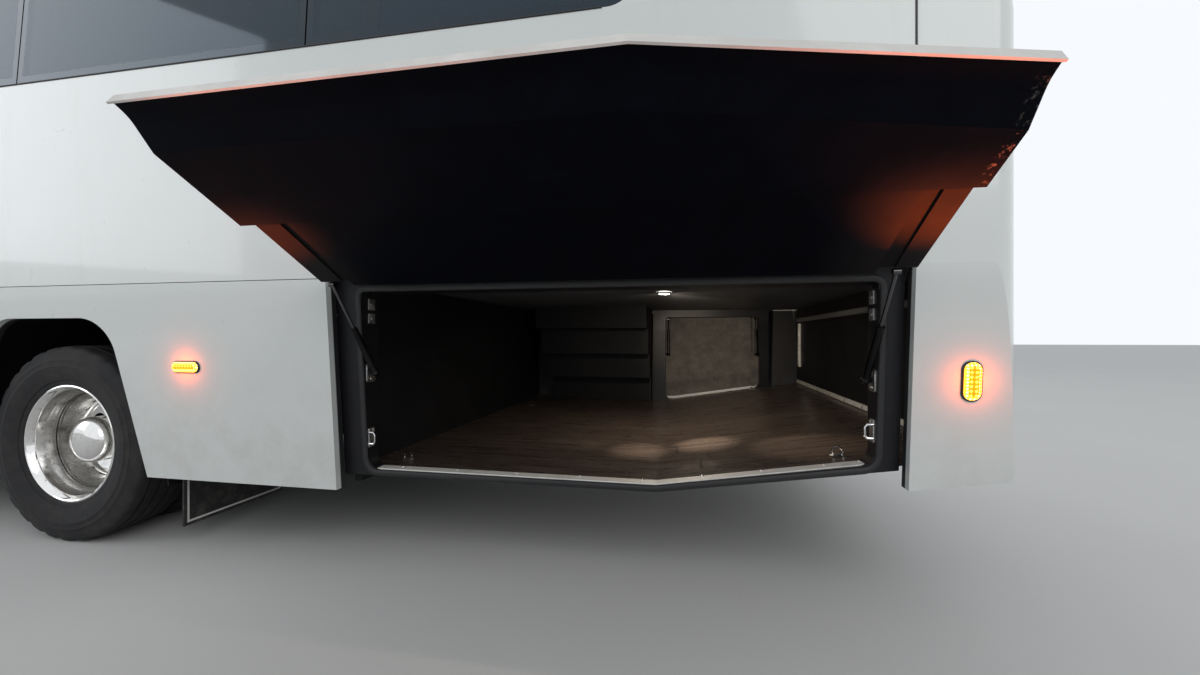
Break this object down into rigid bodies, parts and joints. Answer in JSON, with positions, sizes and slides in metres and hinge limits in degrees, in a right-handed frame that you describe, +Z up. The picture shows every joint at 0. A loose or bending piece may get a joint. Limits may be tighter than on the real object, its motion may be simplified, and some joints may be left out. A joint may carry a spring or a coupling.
{
  "type": "midi coach bus",
  "caption": "Front-engined midi coach with hinged luggage flaps on gas struts, swing doors, steered front wheels and rear twin wheels.",
  "frame": {"origin": "on the ground, on the centre line, under the rear axle", "axes": "+X forward, +Y to the coach's left, +Z up"},
  "size_m": [9.8223, 3.2027, 3.3749],
  "materials": {
    "white_paint": "glossy white coach paint",
    "tinted_glass": "tinted safety glass",
    "black_trim": "matt black",
    "black_rubber": "flexible rubber sheet",
    "tyre_rubber": "tyre rubber",
    "chromed_steel": "polished chrome",
    "chassis_paint": "satin black chassis paint",
    "strut_black": "black lacquer",
    "bright_rod": "ground steel",
    "bare_aluminium": "bare extrusion",
    "dark_plank_floor": "dark plank-pattern floor covering",
    "seat_cloth": "moquette",
    "rack_plastic": "light grey moulding",
    "lamp_lens": "clear and coloured lenses"
  },
  "bodies": {
    "body": {"chassis": "chassis_paint", "front_axle_beam": "chassis_paint", "rear_axle": "chassis_paint", "engine_and_drive": "chassis_paint", "tank_and_silencer": "chassis_paint", "skirts": "white_paint", "side_bands": "white_paint", "window_posts": "black_trim", "fixed_glass": "tinted_glass", "windscreen": "tinted_glass", "roof": "white_paint", "roof_air_unit": "white_paint", "front_face": "white_paint", "rear_cap": "white_paint", "lamps": "lamp_lens", "wheel_housings": "black_trim", "mid_lockers": "chassis_paint", "luggage_floor": "dark_plank_floor", "bay_frames": "black_trim", "sill_strips": "bare_aluminium", "bay_bulkhead": "black_trim", "saloon_floor": "dark_plank_floor", "stairs": "black_trim", "dash": "black_trim", "luggage_racks": "rack_plastic", "seat_frames": "chassis_paint", "seat_cushions": "seat_cloth", "seat_backs": "seat_cloth", "mirrors": "black_trim", "mud_flaps": "black_rubber", "tow_eyes": "chassis_paint", "wipers": "black_trim"},
    "knuckle_left": {"knuckle_left": "chassis_paint"},
    "front_wheel_left": {"front_tyre_left": "tyre_rubber", "front_wheel_left": "chromed_steel"},
    "rear_wheels_left": {"rear_tyres_left": "tyre_rubber", "rear_wheels_left": "chromed_steel"},
    "luggage_flap_left": {"luggage_flap_left": "white_paint"},
    "strut_tubes_left": {"strut_tubes_left": "strut_black"},
    "strut_rods_left": {"strut_rods_left": "bright_rod"},
    "locker_flap_left": {"locker_flap_left": "white_paint"},
    "knuckle_right": {"knuckle_right": "chassis_paint"},
    "front_wheel_right": {"front_tyre_right": "tyre_rubber", "front_wheel_right": "chromed_steel"},
    "rear_wheels_right": {"rear_tyres_right": "tyre_rubber", "rear_wheels_right": "chromed_steel"},
    "luggage_flap_right": {"luggage_flap_right": "white_paint"},
    "strut_tubes_right": {"strut_tubes_right": "strut_black"},
    "strut_rods_right": {"strut_rods_right": "bright_rod"},
    "locker_flap_right": {"locker_flap_right": "white_paint"},
    "rear_hatch": {"rear_hatch": "white_paint"},
    "front_flap": {"front_flap": "white_paint"},
    "roof_hatch_front": {"roof_hatch_front": "white_paint"},
    "roof_hatch_rear": {"roof_hatch_rear": "white_paint"},
    "front_door_arm": {"front_door_arm": "chassis_paint"},
    "front_door": {"front_door_leaf": "white_paint", "front_door_glass": "tinted_glass"},
    "rear_door_arm": {"rear_door_arm": "chassis_paint"},
    "rear_door": {"rear_door_leaf": "white_paint", "rear_door_glass": "tinted_glass"}
  },
  "joints": [
    {"name": "steer_left", "type": "hinge", "parent": "body", "child": "knuckle_left", "pos_m": [4.5, 0.88, 0.3985], "axis": [0, 0, 1], "range_deg": [-38, 38]},
    {"name": "spin_front_left", "type": "hinge", "parent": "knuckle_left", "child": "front_wheel_left", "pos_m": [4.5, 1.01, 0.3985], "axis": [0, 1, 0], "continuous": true},
    {"name": "spin_rear_left", "type": "hinge", "parent": "body", "child": "rear_wheels_left", "pos_m": [0, 0.89, 0.3985], "axis": [0, 1, 0], "continuous": true},
    {"name": "steer_right", "type": "hinge", "parent": "body", "child": "knuckle_right", "pos_m": [4.5, -0.88, 0.3985], "axis": [0, 0, 1], "range_deg": [-38.5, 38.5]},
    {"name": "spin_front_right", "type": "hinge", "parent": "knuckle_right", "child": "front_wheel_right", "pos_m": [4.5, -1.01, 0.3985], "axis": [0, 1, 0], "continuous": true},
    {"name": "spin_rear_right", "type": "hinge", "parent": "body", "child": "rear_wheels_right", "pos_m": [0, -0.89, 0.3985], "axis": [0, 1, 0], "continuous": true},
    {"name": "flap_left", "type": "hinge", "parent": "body", "child": "luggage_flap_left", "pos_m": [-2.3, 1.208, 1.03], "axis": [1, 0, 0], "range_deg": [-122.8, 0]},
    {"name": "strut_turn_left", "type": "hinge", "parent": "body", "child": "strut_tubes_left", "pos_m": [-2.99, 1.092, 0.705], "axis": [1, 0, 0], "range_deg": [-0.5, 27.42]},
    {"name": "strut_slide_left", "type": "slide", "parent": "strut_tubes_left", "child": "strut_rods_left", "axis": [0, 0.576, 0.8174], "range_m": [-0.0847, 0.001]},
    {"name": "locker_left", "type": "hinge", "parent": "body", "child": "locker_flap_left", "pos_m": [1.75, 1.208, 1.03], "axis": [1, 0, 0], "range_deg": [0, 95]},
    {"name": "flap_right", "type": "hinge", "parent": "body", "child": "luggage_flap_right", "pos_m": [-2.3, -1.208, 1.03], "axis": [-1, 0, 0], "range_deg": [0, 122.8]},
    {"name": "strut_turn_right", "type": "hinge", "parent": "body", "child": "strut_tubes_right", "pos_m": [-2.99, -1.092, 0.705], "axis": [-1, 0, 0], "range_deg": [-27.42, 0.5]},
    {"name": "strut_slide_right", "type": "slide", "parent": "strut_tubes_right", "child": "strut_rods_right", "axis": [0, -0.1435, 0.9897], "range_m": [-0.001, 0.0847]},
    {"name": "locker_right", "type": "hinge", "parent": "body", "child": "locker_flap_right", "pos_m": [1.75, -1.208, 1.03], "axis": [-1, 0, 0], "range_deg": [0, 95]},
    {"name": "hatch", "type": "hinge", "parent": "body", "child": "rear_hatch", "pos_m": [-3.402, 0, 1.405], "axis": [0, 1, 0], "range_deg": [0, 85]},
    {"name": "service_flap", "type": "hinge", "parent": "body", "child": "front_flap", "pos_m": [6.262, 0, 1.248], "axis": [0, -1, 0], "range_deg": [0, 75]},
    {"name": "hatch_roof_front", "type": "hinge", "parent": "body", "child": "roof_hatch_front", "pos_m": [3.896, 0, 3.215], "axis": [0, -1, 0], "range_deg": [0, 60]},
    {"name": "hatch_roof_rear", "type": "hinge", "parent": "body", "child": "roof_hatch_rear", "pos_m": [1.046, 0, 3.215], "axis": [0, -1, 0], "range_deg": [0, 60]},
    {"name": "front_door_swing", "type": "hinge", "parent": "body", "child": "front_door_arm", "pos_m": [5.02, -1.088, 1], "axis": [0, 0, -1], "range_deg": [0, 150]},
    {"name": "front_door_turn", "type": "hinge", "parent": "front_door_arm", "child": "front_door", "pos_m": [5.44, -1.088, 1], "axis": [0, 0, -1], "range_deg": [-150.5, 0.5]},
    {"name": "rear_door_swing", "type": "hinge", "parent": "body", "child": "rear_door_arm", "pos_m": [-1.48, -1.088, 1], "axis": [0, 0, 1], "range_deg": [0, 150]},
    {"name": "rear_door_turn", "type": "hinge", "parent": "rear_door_arm", "child": "rear_door", "pos_m": [-1.83, -1.088, 1], "axis": [0, 0, 1], "range_deg": [-150.5, 0.5]}
  ],
  "couplings": [
    {"joint": "steer_right", "follows": "steer_left", "ratio": 1},
    {"joint": "strut_turn_left", "follows": "flap_left", "ratio": -0.21923},
    {"joint": "strut_slide_left", "follows": "flap_left", "m_per_rad": 0.03905},
    {"joint": "strut_turn_right", "follows": "flap_right", "ratio": -0.21923},
    {"joint": "strut_slide_right", "follows": "flap_right", "m_per_rad": 0.03905},
    {"joint": "front_door_turn", "follows": "front_door_swing", "ratio": -1},
    {"joint": "rear_door_turn", "follows": "rear_door_swing", "ratio": -1}
  ]
}
